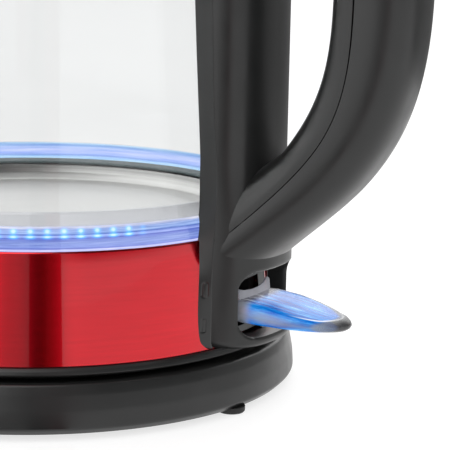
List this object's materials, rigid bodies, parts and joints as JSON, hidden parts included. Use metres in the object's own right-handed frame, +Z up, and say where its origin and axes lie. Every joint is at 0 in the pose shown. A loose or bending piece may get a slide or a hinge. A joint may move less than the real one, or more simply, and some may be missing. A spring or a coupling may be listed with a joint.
{
  "type": "electric kettle",
  "caption": "Cordless glass kettle on a round power base, with a lit ring and red steel skirt, hinged lid, spout filter, loop handle on a column and a rocking switch lever.",
  "frame": {"origin": "centre of the bounding box on the surface that the feet stand on", "axes": "+Z up, +X from the kettle towards its handle, -X towards the spout, +Y across, normal to the kettle's mirror plane; the kettle's own upright axis passes through x = -0.0225 m"},
  "size_m": [0.205, 0.16, 0.23],
  "materials": {
    "black_plastic": "satin black, fine spark texture",
    "dark_plastic": "matte",
    "rubber": "soft matte",
    "steel": "fine brushed",
    "aluminium": "plain",
    "brass": "plain",
    "red_lacquer": "clear red lacquer over brushed steel",
    "circuit_board": "solder mask",
    "clear_plastic": "clear, lit blue from inside",
    "silicone": "smooth matte",
    "glass": "polished",
    "white_plastic": "plain"
  },
  "bodies": {
    "power_base": {"power_base_shell": "black_plastic", "cord_gland": "rubber", "base_bottom_plate": "dark_plastic", "base_screw_1": "steel", "base_screw_2": "steel", "base_screw_3": "steel", "rubber_foot_1": "rubber", "rubber_foot_2": "rubber", "rubber_foot_3": "rubber", "rubber_foot_4": "rubber", "base_connector": "white_plastic", "base_contact_pin": "brass", "base_contact_ring": "brass"},
    "coupler": {"coupler_socket": "white_plastic", "coupler_contact_sleeve": "brass"},
    "kettle": {"kettle_base_ring": "black_plastic", "bottom_screw_1": "steel", "bottom_screw_2": "steel", "bottom_screw_3": "steel", "steel_skirt": "red_lacquer", "inner_chassis": "dark_plastic", "led_ring_board": "circuit_board", "light_ring": "clear_plastic", "heating_plate": "steel", "heat_spreader": "aluminium", "heating_element": "steel", "plate_seal": "silicone", "control_unit": "dark_plastic", "bimetal_disc": "brass", "lever_pivot_pin": "steel", "glass_body": "glass", "collar_seal": "silicone", "top_collar": "black_plastic", "lid_hinge_pin": "steel", "filter_frame": "dark_plastic", "filter_mesh": "steel", "column_back_plate": "black_plastic", "handle_shell": "black_plastic", "column_screw_1": "steel", "column_screw_2": "steel", "handle_grip": "black_plastic", "steam_tube": "white_plastic", "button_spring": "steel"},
    "lid": {"lid_cover": "black_plastic", "lid_inner_plate": "steel", "lid_gasket": "silicone"},
    "lid_button": {"lid_button": "black_plastic"},
    "lid_latch": {"lid_latch": "white_plastic"},
    "switch_lever": {"switch_paddle": "clear_plastic", "trip_lever": "white_plastic"}
  },
  "joints": [
    {"name": "kettle_lift", "type": "slide", "parent": "power_base", "child": "coupler", "axis": [0, 0, 1], "range_m": [0, 0.12]},
    {"name": "kettle_swivel", "type": "hinge", "parent": "coupler", "child": "kettle", "pos_m": [-0.0225, 0, 0], "axis": [0, 0, 1], "continuous": true},
    {"name": "lid_hinge", "type": "hinge", "parent": "kettle", "child": "lid", "pos_m": [0.0355, 0, 0.2185], "axis": [0, 1, 0], "range_deg": [0, 70]},
    {"name": "lid_button_press", "type": "slide", "parent": "kettle", "child": "lid_button", "axis": [0, 0, -1], "range_m": [0, 0.0035], "stiffness_N_per_m": 600, "springref_m": -0.002, "deforming": ["button_spring"]},
    {"name": "lid_latch_slide", "type": "slide", "parent": "kettle", "child": "lid_latch", "axis": [1, 0, 0], "range_m": [0, 0.0035]},
    {"name": "lever_hinge", "type": "hinge", "parent": "kettle", "child": "switch_lever", "pos_m": [0.0435, 0, 0.027], "axis": [0, -1, 0], "range_deg": [0, 14]}
  ],
  "couplings": [
    {"joint": "lid_latch_slide", "follows": "lid_button_press", "ratio": 1}
  ]
}
